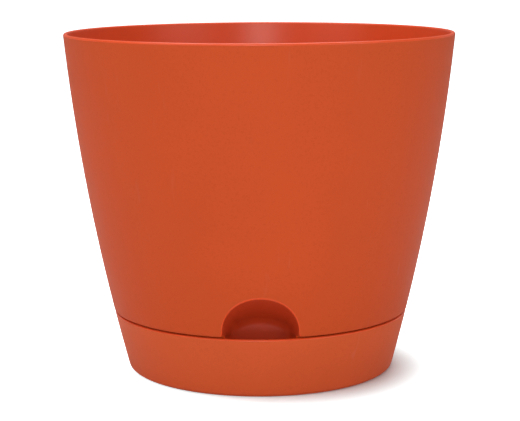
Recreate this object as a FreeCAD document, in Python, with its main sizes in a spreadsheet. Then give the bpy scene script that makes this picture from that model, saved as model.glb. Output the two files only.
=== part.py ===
import FreeCAD, Part
import Sketcher
import math
import os

# Self watering planter, in millimetres: a tapered round pot nested in a flush reservoir saucer,
# with a perforated soil platform and wick cups inside.
# Frame: origin at the centre of the base on the surface that the planter stands on, +Z up,
# the filling niche towards -Y.
#
# Both outer walls follow one gentle arc from the base to the rim. The pot stands on the
# saucer's ribs, its skirt hangs inside the saucer's wall, and a scoop in its front wall runs
# down behind the saucer's lip, so that water poured into it reaches the saucer. The saucer's
# lip is the overflow. The platform rests on the ledge inside the pot's shoulder, above that
# level, and the cups hold soil down in the water.

SIZES = (
    # The whole planter.
    ("rim_radius", 105.0, "outer radius at the rim"),
    ("height", 183.0, "base to rim"),
    ("base_radius", 72.2, "outer radius at the base, before its edge is rounded"),
    ("wall_bulge", 3.9, "rise of the outer wall's arc over its chord"),
    # Reservoir saucer.
    ("saucer_height", 32.4, "base to the saucer's lip"),
    ("saucer_wall", 2.2, "thickness of the saucer's wall"),
    ("saucer_floor", 2.2, "thickness of the saucer's floor"),
    ("foot_rise", 0.8, "height of the foot ring under the floor"),
    ("foot_width", 8.0, "width of the foot ring"),
    ("base_round", 3.4, "radius of the outer edge at the base"),
    ("saucer_corner", 3.0, "radius between the saucer's floor and wall"),
    ("lip_round", 0.9, "radius of the saucer's lip, each side"),
    ("rib_rise", 1.8, "height of the ribs that carry the pot"),
    ("rib_width", 2.4, "width of a rib"),
    ("rib_start", 14.0, "distance of a rib's inner end from the axis"),
    ("rib_end_gap", 9.0, "distance of a rib's outer end from the pot's skirt"),
    ("rib_count", 8, "number of ribs"),
    # Pot.
    ("wall", 2.2, "thickness of the pot's wall"),
    ("pot_floor", 2.2, "thickness of the pot's floor"),
    ("seam_gap", 1.0, "height of the gap over the saucer's lip"),
    ("skirt_gap", 0.8, "clearance between the pot's skirt and the saucer's wall"),
    ("rim_round", 1.05, "radius of the rim, each side"),
    ("skirt_corner", 3.0, "radius of the skirt's lower edge"),
    ("drain_radius", 4.0, "radius of a hole in the pot's floor"),
    ("drain_inner_ring", 28.0, "distance of the inner floor holes from the axis"),
    ("drain_edge", 16.6, "distance of the outer floor holes from the skirt's lower edge"),
    ("drain_centre_radius", 5.0, "radius of the hole in the middle of the pot's floor"),
    # Filling niche: an arch at the wall, drawn in to a lower arch at the back.
    ("niche_depth", 15.0, "depth of the niche's back under the outer wall, at the seam"),
    ("niche_lead", 0.6, "distance that the front arch stands outside the wall"),
    ("niche_front_half", 22.36, "half the width of the front arch"),
    ("niche_front_rise", 21.94, "height of the front arch's crown over the shoulder"),
    ("niche_front_leg", 2.87, "height of the front arch's legs over the shoulder"),
    ("niche_front_square", 0.49, "the front arch's rise over its legs less its haunch radius"),
    ("niche_back_half", 14.7, "half the width of the back arch"),
    ("niche_back_rise", 6.7, "height of the back arch's crown over the shoulder"),
    ("niche_back_leg", -0.6, "height of the back arch's legs over the shoulder"),
    ("niche_back_square", 2.26, "the back arch's rise over its legs less its haunch radius"),
    ("niche_wall", 2.7, "thickness of the niche's wall, measured in the plane of an arch"),
    ("niche_edge_round", 0.5, "radius of the niche's edge in the outer wall"),
    # Soil platform.
    ("platform_thickness", 2.0, "thickness of the platform"),
    ("platform_gap", 0.8, "clearance between the platform and the pot"),
    ("leg_radius", 8.0, "outer radius of the platform's hollow leg"),
    ("leg_wall", 2.0, "thickness of the leg's wall"),
    ("leg_gap", 0.3, "clearance between the leg and the pot's floor"),
    ("stiffener_depth", 4.0, "depth of the ribs under the platform"),
    ("stiffener_width", 2.0, "width of the ribs under the platform"),
    ("stiffener_end_gap", 5.4, "distance of the ribs' outer ends from the platform's notch"),
    ("perforation_radius", 2.0, "radius of a drainage perforation"),
    ("outer_ring_inset", 10.0, "distance of the outer perforations from the platform's edge"),
    ("outer_ring_count", 26, "number of outer perforations"),
    ("outer_ring_sweep", 300.0, "degrees that the outer perforations cover, clear of the niche"),
    ("row_end_gap", 3.0, "distance of a row's outermost perforation from the rib's end"),
    ("row_step", 8.0, "distance between the perforations of a row"),
    ("row_offset", 5.0, "distance of a row from the rib beside it"),
    # Wick cups.
    ("cup_row_gap", 4.6, "distance of a socket from the rows of perforations beside it"),
    ("cup_edge_gap", 7.6, "distance of a socket from the outer perforations"),
    ("cup_taper", 4.5, "a cup's outer radius under its flange less the one at its bottom"),
    ("cup_wall", 1.6, "thickness of a cup's wall and floor"),
    ("cup_flange_width", 2.5, "width of a cup's flange outside its cone"),
    ("cup_flange_thickness", 1.6, "thickness of a cup's flange"),
    ("cup_socket_gap", 0.4, "clearance between a cup and its socket"),
    ("cup_floor_gap", 0.8, "clearance between a cup and the pot's floor"),
    ("cup_slot_width", 3.0, "width of a slot in a cup"),
    ("cup_slot_height", 12.0, "height of a slot in a cup"),
    ("cup_slot_rise", 4.0, "height of a slot's lower end over the cup's bottom"),
    ("cup_slot_count", 6, "number of slots in a cup"),
    ("cup_hole_radius", 3.0, "radius of the hole in a cup's floor"),
)


def wall_at(level, inset="0"):
    """Expression of the wall arc's distance from the axis at a height, moved in by an inset."""
    return (f"derived.arc_x + sqrt((derived.arc_radius - ({inset}))^2"
            f" - (({level}) - derived.arc_z)^2)")


SPREAD = "(dims.rim_radius - dims.base_radius)"
DERIVED = (
    # The arc that both outer walls follow, from its chord and its rise over the chord.
    ("chord", f"sqrt({SPREAD}^2 + dims.height^2)"),
    ("arc_radius", "derived.chord^2 / (8 * dims.wall_bulge) + dims.wall_bulge / 2"),
    ("arc_depth", "derived.arc_radius - dims.wall_bulge"),
    ("arc_x", "(dims.rim_radius + dims.base_radius) / 2"
              " - derived.arc_depth * dims.height / derived.chord"),
    ("arc_z", f"dims.height / 2 + derived.arc_depth * {SPREAD} / derived.chord"),
    # Levels, from the base up.
    ("saucer_inside", "dims.foot_rise + dims.saucer_floor"),
    ("pot_base", "derived.saucer_inside + dims.rib_rise"),
    ("pot_inside", "derived.pot_base + dims.pot_floor"),
    ("shoulder", "dims.saucer_height + dims.seam_gap"),
    ("ledge", "derived.shoulder + dims.wall"),
    ("platform_top", "derived.ledge + dims.platform_thickness"),
    ("cup_base", "derived.pot_inside + dims.cup_floor_gap"),
    # Insets from the outer wall, and distances from the axis.
    ("skirt_inset", "dims.saucer_wall + dims.skirt_gap"),
    ("skirt_inside_inset", "derived.skirt_inset + dims.wall"),
    ("skirt_foot", wall_at("derived.pot_base", "derived.skirt_inset")),
    ("niche_front", wall_at("derived.shoulder + dims.niche_front_rise") + " + dims.niche_lead"),
    ("niche_back", wall_at("derived.shoulder") + " - dims.niche_depth"),
    ("niche_inside", "derived.niche_back - dims.wall"),
    ("platform_edge", wall_at("derived.ledge", "dims.wall") + " - dims.platform_gap"),
    ("notch_back", "derived.niche_inside - dims.platform_gap"),
    ("stiffener_reach", "derived.notch_back - dims.stiffener_end_gap"),
    ("outer_ring", "derived.platform_edge - dims.outer_ring_inset"),
    # A socket touches two rows and the outer ring of perforations, each over its own gap.
    ("socket_side", "dims.row_offset + dims.perforation_radius + dims.cup_row_gap"),
    ("socket_far", "derived.outer_ring - dims.perforation_radius - dims.cup_edge_gap"),
    ("cup_ring", "(derived.socket_side + derived.socket_far) / (1 + sqrt(2) / 2)"),
    ("socket_radius", "derived.socket_far - derived.cup_ring"),
    ("cup_top_radius", "derived.socket_radius - dims.cup_socket_gap"),
    ("cup_bottom_radius", "derived.cup_top_radius - dims.cup_taper"),
)

CUP_SIDES = {
    "wick_cup_back_right": (1, 1),
    "wick_cup_back_left": (-1, 1),
    "wick_cup_front_left": (-1, -1),
    "wick_cup_front_right": (1, -1),
}
ROW_HOLES = 5    # perforations in one row of the platform
QUARTERS = "4"   # stiffeners of the platform, and pairs of rows
TOUCH = 1e-4     # two lengths closer than this are the same
ON_WALL = 0.01   # a point closer to the outer wall than this is on it


def make_sheet(document):
    """Write the driving dimensions and the values that follow from them."""
    sheet = document.addObject("Spreadsheet::Sheet", "dims")
    for row, (alias, size, meaning) in enumerate(SIZES, start=1):
        sheet.set(f"A{row}", meaning)
        sheet.set(f"B{row}", str(size))
        sheet.setAlias(f"B{row}", alias)
    document.recompute()
    derived = document.addObject("App::VarSet", "derived")
    for name, formula in DERIVED:
        derived.addProperty("App::PropertyFloat", name, "derived", formula)
        derived.setExpression(name, formula)
        document.recompute()


def arc_between(start, end, radius, hollow):
    """The arc from start to end that bulges to the right of the walk, or left if hollow."""
    chord = end - start
    middle = (start + end) * 0.5
    away = math.sqrt(radius ** 2 - (chord.Length / 2) ** 2)
    left = FreeCAD.Vector(-chord.y, chord.x, 0).normalize()
    centre = middle - left * away if hollow else middle + left * away
    circle = Part.Circle(centre, FreeCAD.Vector(0, 0, 1), radius)
    first, last = (end, start) if hollow else (start, end)
    return Part.ArcOfCircle(circle, circle.parameter(first), circle.parameter(last))


def draw(body, name, plane, corners, offset="0", turn=None):
    """Add a closed sketch to a body.

    Args:
        body: the body that gets the sketch.
        name: the sketch's name.
        plane: the role of the body's origin plane that it lies on, such as XZ_Plane.
        corners: the outline, anticlockwise. Each corner is (across, up) as expressions. With a
            third expression, the side that leaves the corner is an arc of that radius, and a
            fourth entry, "hollow", turns the arc's bulge inwards.
        offset: expression of the sketch's distance from the plane, along the plane's normal.
        turn: expression of the sketch's turn in its plane, in degrees.

    Returns:
        The sketch.
    """
    sketch = body.newObject("Sketcher::SketchObject", name)
    place_sketch(body, sketch, plane, offset, turn)
    spots = [FreeCAD.Vector(number(sketch, c[0]), number(sketch, c[1]), 0) for c in corners]
    count = len(corners)
    heads, tails = [], []
    for side, corner in enumerate(corners):
        start, end = spots[side], spots[(side + 1) % count]
        if len(corner) == 2:
            sketch.addGeometry(Part.LineSegment(start, end), False)
            heads.append(1)
            tails.append(2)
            continue
        hollow = len(corner) == 4
        arc = arc_between(start, end, number(sketch, corner[2]), hollow)
        sketch.addGeometry(arc, False)
        heads.append(2 if hollow else 1)
        tails.append(1 if hollow else 2)
        bind(sketch, "Radius", (side,), corner[2])
    for side, corner in enumerate(corners):
        before = (side - 1) % count
        joint = (before, tails[before], side, heads[side])
        sketch.addConstraint(Sketcher.Constraint("Coincident", *joint))
        pin(sketch, "DistanceX", side, heads[side], corner[0])
        pin(sketch, "DistanceY", side, heads[side], corner[1])
    return sketch


def draw_circles(body, name, circles, offset):
    """Add a level sketch of circles, each (across, along, radius), at a height."""
    sketch = body.newObject("Sketcher::SketchObject", name)
    place_sketch(body, sketch, "XY_Plane", offset, None)
    for index, (across, along, radius) in enumerate(circles):
        centre = FreeCAD.Vector(number(sketch, across), number(sketch, along), 0)
        circle = Part.Circle(centre, FreeCAD.Vector(0, 0, 1), number(sketch, radius))
        sketch.addGeometry(circle, False)
        bind(sketch, "Radius", (index,), radius)
        pin(sketch, "DistanceX", index, 3, across)
        pin(sketch, "DistanceY", index, 3, along)
    return sketch


def place_sketch(body, sketch, plane, offset, turn):
    """Attach a sketch to one of its body's origin planes."""
    base = next(item for item in body.Origin.OriginFeatures if item.Role == plane)
    sketch.AttachmentSupport = [(base, "")]
    sketch.MapMode = "FlatFace"
    sketch.setExpression("AttachmentOffset.Base.z", offset)
    if turn:
        sketch.AttachmentOffset.Rotation = FreeCAD.Rotation(FreeCAD.Vector(0, 0, 1), 1.0)
        sketch.setExpression("AttachmentOffset.Rotation.Angle", turn)


def number(holder, expression):
    """The present value of an expression."""
    result = holder.evalExpression(expression)
    return float(getattr(result, "Value", result))


def bind(sketch, kind, references, expression):
    """Add a dimension to a sketch and bind it to an expression."""
    size = number(sketch, expression)
    index = sketch.addConstraint(Sketcher.Constraint(kind, *references, size))
    sketch.setExpression(f"Constraints[{index}]", expression)


def pin(sketch, kind, geometry, point, expression):
    """Hold one point's distance across or up from the sketch's origin."""
    if expression == "0":
        axis = -2 if kind == "DistanceX" else -1
        sketch.addConstraint(Sketcher.Constraint("PointOnObject", geometry, point, axis))
    else:
        bind(sketch, kind, (-1, 1, geometry, point), expression)


def new_body(document, name):
    """Add a body whose label is its name."""
    body = document.addObject("PartDesign::Body", name)
    body.Label = name
    return body


def revolve(body, name, sketch):
    """Turn a half outline once around the vertical axis."""
    feature = body.newObject("PartDesign::Revolution", name)
    feature.Profile = sketch
    feature.ReferenceAxis = (sketch, ["V_Axis"])
    feature.Angle = 360
    body.Document.recompute()
    return feature


def pad(body, name, sketch, length, downwards=False):
    """Raise a sketch into the body by a length."""
    feature = body.newObject("PartDesign::Pad", name)
    feature.Profile = sketch
    feature.Reversed = downwards
    feature.setExpression("Length", length)
    body.Document.recompute()
    return feature


def pocket(body, name, sketch, length, forwards=False):
    """Cut a sketch out of the body, against its normal, or along it if forwards."""
    before = body.Shape.Volume
    feature = body.newObject("PartDesign::Pocket", name)
    feature.Profile = sketch
    feature.Reversed = forwards
    feature.setExpression("Length", length)
    body.Document.recompute()
    if body.Shape.Volume > before - TOUCH:
        raise RuntimeError(f"{name} cuts nothing from {body.Label}")
    return feature


def around(body, name, feature, count, sweep=None):
    """Repeat a feature around the vertical axis, over a full turn or a sweep."""
    pattern = body.newObject("PartDesign::PolarPattern", name)
    pattern.Originals = [feature]
    axis = next(item for item in body.Origin.OriginFeatures if item.Role == "Z_Axis")
    pattern.Axis = (axis, [""])
    pattern.Angle = 360
    if sweep:
        pattern.setExpression("Angle", sweep)
    pattern.setExpression("Occurrences", count)
    body.Tip = pattern
    body.Document.recompute()
    return pattern


def fillet(body, name, edges, radius):
    """Round the named edges of the body's last feature."""
    if not edges:
        raise RuntimeError(f"{name} finds no edge on {body.Label}")
    previous = body.Tip
    feature = body.newObject("PartDesign::Fillet", name)
    feature.Base = (previous, edges)
    feature.setExpression("Radius", radius)
    body.Tip = feature
    body.Document.recompute()
    return feature


def subtract(body, name, tools):
    """Cut other bodies out of a body."""
    feature = body.newObject("PartDesign::Boolean", name)
    feature.Type = "Cut"
    feature.setObjects(tools)
    body.Document.recompute()
    return feature


def rings(body, level, radius):
    """Names of the last feature's circular edges of a radius at a height."""
    names = []
    for index, edge in enumerate(body.Tip.Shape.Edges, start=1):
        curve = edge.Curve
        if not isinstance(curve, Part.Circle):
            continue
        if abs(curve.Center.z - level) < TOUCH and abs(curve.Radius - radius) < TOUCH:
            names.append(f"Edge{index}")
    return names


def edges_where(body, test):
    """Names of the last feature's edges whose sample points all pass a test."""
    names = []
    for index, edge in enumerate(body.Tip.Shape.Edges, start=1):
        if all(test(point) for point in edge.discretize(5)):
            names.append(f"Edge{index}")
    return names


def make_saucer(document):
    """The saucer: a flush wall on a foot ring, a round lip and ribs that carry the pot."""
    body = new_body(document, "reservoir_saucer")
    foot = "dims.base_radius - dims.base_round - dims.foot_width"
    lip = "dims.saucer_height"
    floor = "derived.saucer_inside"
    inner = "derived.arc_radius - dims.saucer_wall"
    shell = draw(body, "saucer_section", "XZ_Plane", [
        ("0", "dims.foot_rise"),
        (foot, "dims.foot_rise"),
        (foot, "0"),
        ("dims.base_radius", "0", "derived.arc_radius"),
        (wall_at(lip), lip),
        (wall_at(lip, "dims.saucer_wall"), lip, inner, "hollow"),
        (wall_at(floor, "dims.saucer_wall"), floor),
        ("0", floor),
    ])
    revolve(body, "saucer_shell", shell)
    base_edge = rings(body, 0, document.dims.base_radius)
    fillet(body, "saucer_base_round", base_edge, "dims.base_round")
    corner_radius = number(document.dims, wall_at(floor, "dims.saucer_wall"))
    corner = rings(body, document.derived.saucer_inside, corner_radius)
    fillet(body, "saucer_corner_round", corner, "dims.saucer_corner")
    lip_edges = edges_where(body, lambda spot: abs(spot.z - document.dims.saucer_height) < TOUCH)
    fillet(body, "saucer_lip_round", lip_edges,
           "min(dims.lip_round; 0.45 * dims.saucer_wall)")
    reach = "derived.skirt_foot - dims.rib_end_gap"
    half = "dims.rib_width / 2"
    rib = draw(body, "rib_outline", "XY_Plane", [
        ("dims.rib_start", f"-{half}"),
        (reach, f"-{half}"),
        (reach, half),
        ("dims.rib_start", half),
    ], offset=floor, turn="180 / dims.rib_count")
    first = pad(body, "rib", rib, "dims.rib_rise")
    around(body, "ribs", first, "dims.rib_count")
    return body


def arch(half, rise, leg, square):
    """Outline of an arch on two legs down to the base, as corners for draw().

    Its crown is a flat arc and each haunch a tighter one, tangent to the crown and to its leg.

    Args:
        half: expression of half the arch's width.
        rise: expression of the crown's height over the shoulder.
        leg: expression of the legs' height over the shoulder.
        square: expression of the rise over the legs less the haunch radius.
    """
    spring = f"(derived.shoulder + {leg})"
    over = f"({rise} - ({leg}))"
    haunch = f"({over} - {square})"
    crown = f"((({half})^2 + {over}^2 - 2 * ({half}) * {haunch}) / (2 * {square}))"
    share = f"({crown} / ({crown} - {haunch}))"
    across = f"({share} * (({half}) - {haunch}))"
    up = f"({spring} + ({over} - {crown}) * (1 - {share}))"
    return [
        (f"-({half})", "0"),
        (half, "0"),
        (half, spring, haunch),
        (across, up, crown),
        (f"-{across}", up, haunch),
        (f"-({half})", spring),
    ]


def make_niche(document, name, growth, depth):
    """A body of the niche and its channel down to the base, grown by a wall."""
    body = new_body(document, name)
    front = arch(f"dims.niche_front_half + {growth}", f"(dims.niche_front_rise + {growth})",
                 "dims.niche_front_leg", "dims.niche_front_square")
    back = arch(f"dims.niche_back_half + {growth}", f"(dims.niche_back_rise + {growth})",
                "dims.niche_back_leg", "dims.niche_back_square")
    front_sketch = draw(body, f"{name}_front", "XZ_Plane", front, offset="derived.niche_front")
    back_sketch = draw(body, f"{name}_back", "XZ_Plane", back, offset=depth)
    loft = body.newObject("PartDesign::AdditiveLoft", f"{name}_loft")
    loft.Profile = front_sketch
    loft.Sections = [back_sketch]
    loft.Ruled = True
    document.recompute()
    return body


def in_niche_mouth(document, spot):
    """Whether a point is on the niche's edge in the outer wall, over the seam."""
    wall = number(document.dims, wall_at(str(spot.z)))
    on_wall = abs(math.hypot(spot.x, spot.y) - wall) < ON_WALL
    crown = document.derived.shoulder + document.dims.niche_front_rise
    return on_wall and abs(spot.x) < document.dims.niche_front_half and spot.z < crown


def make_pot(document):
    """The pot: a tapered wall over a skirt, the filling niche, and holes in its floor."""
    rim = "dims.height"
    base = "derived.pot_base"
    inside = "derived.pot_inside"
    shoulder = "derived.shoulder"
    ledge = "derived.ledge"
    skirt = "derived.skirt_inset"
    skirt_inner = "derived.skirt_inside_inset"

    core = new_body(document, "pot_core")
    cavity = draw(core, "cavity_section", "XZ_Plane", [
        ("0", inside),
        (wall_at(inside, skirt_inner), inside, f"derived.arc_radius - {skirt_inner}"),
        (wall_at(ledge, skirt_inner), ledge),
        (wall_at(ledge, "dims.wall"), ledge, "derived.arc_radius - dims.wall"),
        (wall_at(f"{rim} + dims.wall", "dims.wall"), f"{rim} + dims.wall"),
        ("0", f"{rim} + dims.wall"),
    ])
    revolve(core, "cavity", cavity)
    niche_shell = make_niche(document, "niche_shell", "dims.niche_wall", "derived.niche_inside")
    subtract(core, "cavity_round_niche", [niche_shell])

    body = new_body(document, "planter_pot")
    solid = draw(body, "pot_section", "XZ_Plane", [
        ("0", base),
        (wall_at(base, skirt), base, f"derived.arc_radius - {skirt}"),
        (wall_at(shoulder, skirt), shoulder),
        (wall_at(shoulder), shoulder, "derived.arc_radius"),
        ("dims.rim_radius", rim),
        ("0", rim),
    ])
    revolve(body, "pot_solid", solid)
    skirt_edge = rings(body, document.derived.pot_base, document.derived.skirt_foot)
    fillet(body, "skirt_round", skirt_edge, "dims.skirt_corner")
    niche = make_niche(document, "niche", "0", "derived.niche_back")
    subtract(body, "pot_hollow", [core, niche])
    top = edges_where(body, lambda spot: abs(spot.z - document.dims.height) < TOUCH)
    fillet(body, "rim_edge_round", top, "min(dims.rim_round; 0.48 * dims.wall)")
    mouth = edges_where(body, lambda spot: in_niche_mouth(document, spot))
    fillet(body, "niche_edge_round", mouth, "dims.niche_edge_round")

    middle = draw_circles(body, "centre_hole_outline", [("0", "0", "dims.drain_centre_radius")],
                          offset=inside)
    pocket(body, "centre_hole", middle, "dims.pot_floor")
    pair = draw_circles(body, "drain_outline", [
        ("dims.drain_inner_ring", "0", "dims.drain_radius"),
        ("derived.skirt_foot - dims.drain_edge", "0", "dims.drain_radius"),
    ], offset=inside)
    holes = pocket(body, "drain_holes", pair, "dims.pot_floor")
    around(body, "drain_hole_rings", holes, "dims.rib_count")
    return body


def make_platform(document):
    """The platform: a perforated disc with a notch, a hollow leg, ribs and four sockets."""
    body = new_body(document, "soil_platform")
    under = "derived.ledge"
    depth = "dims.platform_thickness"
    disc = draw_circles(body, "disc_outline", [("0", "0", "derived.platform_edge")], offset=under)
    pad(body, "disc", disc, depth)

    leg = draw_circles(body, "leg_outline", [
        ("0", "0", "dims.leg_radius"),
        ("0", "0", "dims.leg_radius - dims.leg_wall"),
    ], offset=under)
    pad(body, "leg", leg, f"{under} - derived.pot_inside - dims.leg_gap", downwards=True)
    inner_end = "dims.leg_radius - dims.leg_wall / 2"
    half = "dims.stiffener_width / 2"
    rib = draw(body, "stiffener_outline", "XY_Plane", [
        (inner_end, f"-{half}"),
        ("derived.stiffener_reach", f"-{half}"),
        ("derived.stiffener_reach", half),
        (inner_end, half),
    ], offset=under)
    first_rib = pad(body, "stiffener", rib, "dims.stiffener_depth", downwards=True)
    around(body, "stiffeners", first_rib, QUARTERS)

    front_half = "(dims.niche_front_half + dims.niche_wall + dims.platform_gap)"
    back_half = "(dims.niche_back_half + dims.niche_wall + dims.platform_gap)"
    notch = draw(body, "notch_outline", "XY_Plane", [
        (f"-{front_half}", "-derived.niche_front"),
        (front_half, "-derived.niche_front"),
        (back_half, "-derived.notch_back"),
        (f"-{back_half}", "-derived.notch_back"),
    ], offset="derived.platform_top")
    pocket(body, "notch", notch, depth)

    socket_at = "derived.cup_ring * sqrt(2) / 2"
    sockets = draw_circles(body, "socket_outline", [
        (f"{x} * {socket_at}", f"{y} * {socket_at}", "derived.socket_radius")
        for x, y in CUP_SIDES.values()
    ], offset="derived.platform_top")
    pocket(body, "sockets", sockets, depth)

    rows = [(f"derived.stiffener_reach - dims.row_end_gap - {step} * dims.row_step",
             f"{side} * dims.row_offset", "dims.perforation_radius")
            for step in range(ROW_HOLES) for side in (-1, 1)]
    row_sketch = draw_circles(body, "row_outline", rows, offset="derived.platform_top")
    row_holes = pocket(body, "row_holes", row_sketch, depth)
    around(body, "rows_of_holes", row_holes, QUARTERS)
    start = "(90 - dims.outer_ring_sweep / 2)"
    edge_sketch = draw_circles(body, "edge_hole_outline", [
        (f"derived.outer_ring * cos({start} * 1 deg)",
         f"derived.outer_ring * sin({start} * 1 deg)", "dims.perforation_radius"),
    ], offset="derived.platform_top")
    edge_hole = pocket(body, "edge_hole", edge_sketch, depth)
    around(body, "edge_holes", edge_hole, "dims.outer_ring_count", sweep="dims.outer_ring_sweep")
    return body


def make_cup(document, name, sides):
    """One wick cup: a slotted cone that hangs in its socket by a flange."""
    body = new_body(document, name)
    along = "derived.cup_ring * sqrt(2) / 2"
    body.setExpression("Placement.Base.x", f"{sides[0]} * {along}")
    body.setExpression("Placement.Base.y", f"{sides[1]} * {along}")
    base = "derived.cup_base"
    seat = "derived.platform_top"
    top = "derived.platform_top + dims.cup_flange_thickness"
    slope = f"(dims.cup_taper / ({seat} - {base}))"
    floor = f"{base} + dims.cup_wall"
    inner_foot = f"derived.cup_bottom_radius - dims.cup_wall + {slope} * dims.cup_wall"
    inner_mouth = f"derived.cup_top_radius - dims.cup_wall + {slope} * dims.cup_flange_thickness"
    flange = "derived.cup_top_radius + dims.cup_flange_width"
    section = draw(body, f"{name}_section", "XZ_Plane", [
        ("0", base),
        ("derived.cup_bottom_radius", base),
        ("derived.cup_top_radius", seat),
        (flange, seat),
        (flange, top),
        (inner_mouth, top),
        (inner_foot, floor),
        ("0", floor),
    ])
    revolve(body, f"{name}_cone", section)
    low = f"({base} + dims.cup_slot_rise)"
    half = "dims.cup_slot_width / 2"
    slot = draw(body, f"{name}_slot_outline", "XZ_Plane", [
        (f"-{half}", low),
        (half, low),
        (half, f"{low} + dims.cup_slot_height"),
        (f"-{half}", f"{low} + dims.cup_slot_height"),
    ])
    first = pocket(body, f"{name}_slot", slot, "derived.cup_top_radius", forwards=True)
    around(body, f"{name}_slots", first, "dims.cup_slot_count")
    hole = draw_circles(body, f"{name}_hole_outline", [("0", "0", "dims.cup_hole_radius")],
                        offset=floor)
    pocket(body, f"{name}_hole", hole, "dims.cup_wall")
    return body


def check(document, parts):
    """Stop if any object has failed, or a part is not one valid solid."""
    for item in document.Objects:
        if "Invalid" in item.State or "Error" in item.State:
            raise RuntimeError(f"{item.Name} failed: {item.State}")
    for part in parts:
        shape = part.Shape
        if shape.isNull() or not shape.isValid() or len(shape.Solids) != 1:
            raise RuntimeError(f"{part.Label} is not one valid solid")


def main():
    """Build the planter and write each sub-part to parts/."""
    document = FreeCAD.newDocument("self_watering_planter")
    make_sheet(document)
    parts = [make_saucer(document), make_pot(document), make_platform(document)]
    parts += [make_cup(document, name, sides) for name, sides in CUP_SIDES.items()]
    document.recompute()
    check(document, parts)
    os.makedirs("parts", exist_ok=True)
    for part in parts:
        part.Shape.exportStep(f"parts/{part.Label}.step")
        box = part.Shape.optimalBoundingBox()
        print(f"{part.Label}: {part.Shape.Volume:.0f} mm3,"
              f" z {box.ZMin:.2f} to {box.ZMax:.2f}, reach {box.XMax:.2f}, {box.YMin:.2f}")


main()
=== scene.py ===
# Self watering planter: the looks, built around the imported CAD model.
# Sizes are in millimetres until a piece is finished, which scales it to metres. The filling
# niche faces -Y, and every angle round the axis is measured from there, positive to the right.

import logging
import math
from collections.abc import Callable
from dataclasses import dataclass, replace
from enum import Enum

import bmesh
import bpy
from bmesh.types import BMEdge, BMesh, BMFace, BMVert
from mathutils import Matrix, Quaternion, Vector


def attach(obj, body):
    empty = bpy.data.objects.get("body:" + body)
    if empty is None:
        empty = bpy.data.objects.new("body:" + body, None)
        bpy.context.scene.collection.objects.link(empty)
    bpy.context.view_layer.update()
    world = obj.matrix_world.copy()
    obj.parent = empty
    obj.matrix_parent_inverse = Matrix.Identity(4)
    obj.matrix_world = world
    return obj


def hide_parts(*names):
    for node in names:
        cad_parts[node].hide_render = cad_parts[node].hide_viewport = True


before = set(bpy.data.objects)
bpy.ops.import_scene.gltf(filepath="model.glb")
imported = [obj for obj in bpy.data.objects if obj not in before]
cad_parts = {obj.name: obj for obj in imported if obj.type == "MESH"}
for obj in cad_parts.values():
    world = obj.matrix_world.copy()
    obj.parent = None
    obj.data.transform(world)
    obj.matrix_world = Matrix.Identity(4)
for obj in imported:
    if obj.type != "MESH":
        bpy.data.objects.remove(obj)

LOG = logging.getLogger("planter")
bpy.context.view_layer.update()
METRES = 0.001           # metres in a millimetre
MERGE = 0.002            # vertices nearer than this are one, in millimetres
HALVINGS = 40            # steps of a search by halving
SAME_ANGLE = 1e-4        # angles nearer than this are one
MOUTH_SAMPLES = 400      # points that a niche's edge line is measured with
ARCH_CROWN = 2.5         # share of an arch at its top
ARCH_END = 5.0           # share of an arch at the foot of its right leg
BEVEL_SEGMENTS = 3       # faces across a rounded edge of a bar
SHARP_ANGLE = math.radians(32)
WHITE = (1.0, 1.0, 1.0, 1.0)
PURE_WHITE = 1.2         # strength of a glow that the camera sees as plain white
MIX_FACTOR, MIX_FIRST, MIX_SECOND = 0, 6, 7      # a colour Mix node's inputs
MIX_RESULT = 2                                   # and its output


class Finish(Enum):
    """The moulded plastics, by the place of each in a piece's material slots. INSIDE's tone is
    lighter than OUTSIDE's, painted light, and SCOOP's is darker, painted shade.
    """

    OUTSIDE = 0
    INSIDE = 1
    SCOOP = 2


class Join(Enum):
    """How two closed meshes become one."""

    UNION = "UNION"
    DIFFERENCE = "DIFFERENCE"


class CupPlace(Enum):
    """The corner of the platform that a wick cup hangs in, as signs of X and Y."""

    BACK_RIGHT = (1, 1)
    BACK_LEFT = (-1, 1)
    FRONT_LEFT = (-1, -1)
    FRONT_RIGHT = (1, -1)


@dataclass(frozen=True)
class WallArc:
    """The gentle arc that the outer walls of the pot and the saucer follow."""

    rim_radius: float = 105.0
    height: float = 183.0
    base_radius: float = 72.2
    bulge: float = 3.9

    def reach(self, level: float, inset: float = 0.0) -> float:
        """Distance of the wall from the axis.

        Args:
            level: height over the base.
            inset: distance that the surface lies inside the outer wall.

        Returns:
            The distance from the axis.
        """
        spread = self.rim_radius - self.base_radius
        chord = math.hypot(spread, self.height)
        radius = chord ** 2 / (8 * self.bulge) + self.bulge / 2
        depth = radius - self.bulge
        centre = (self.rim_radius + self.base_radius) / 2 - depth * self.height / chord
        middle = self.height / 2 + depth * spread / chord
        return centre + math.sqrt((radius - inset) ** 2 - (level - middle) ** 2)

    def rows(self, levels: list[float], inset: float = 0.0) -> list["Corner"]:
        """Plain corners on the wall, one at each level."""
        return [Corner(self.reach(level, inset), level) for level in levels]


@dataclass(frozen=True)
class Corner:
    """A corner of a half section.

    Attributes:
        reach: distance from the axis.
        level: height over the base.
        radius: radius of its round, 0 for a sharp corner.
        segments: number of edges that the round is made of.
    """

    reach: float
    level: float
    radius: float = 0.0
    segments: int = 4


def steps(first: float, last: float, count: int) -> list[float]:
    """Evenly spaced values from first to last, both included, with count gaps."""
    return [first + (last - first) * index / count for index in range(count + 1)]


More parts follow.
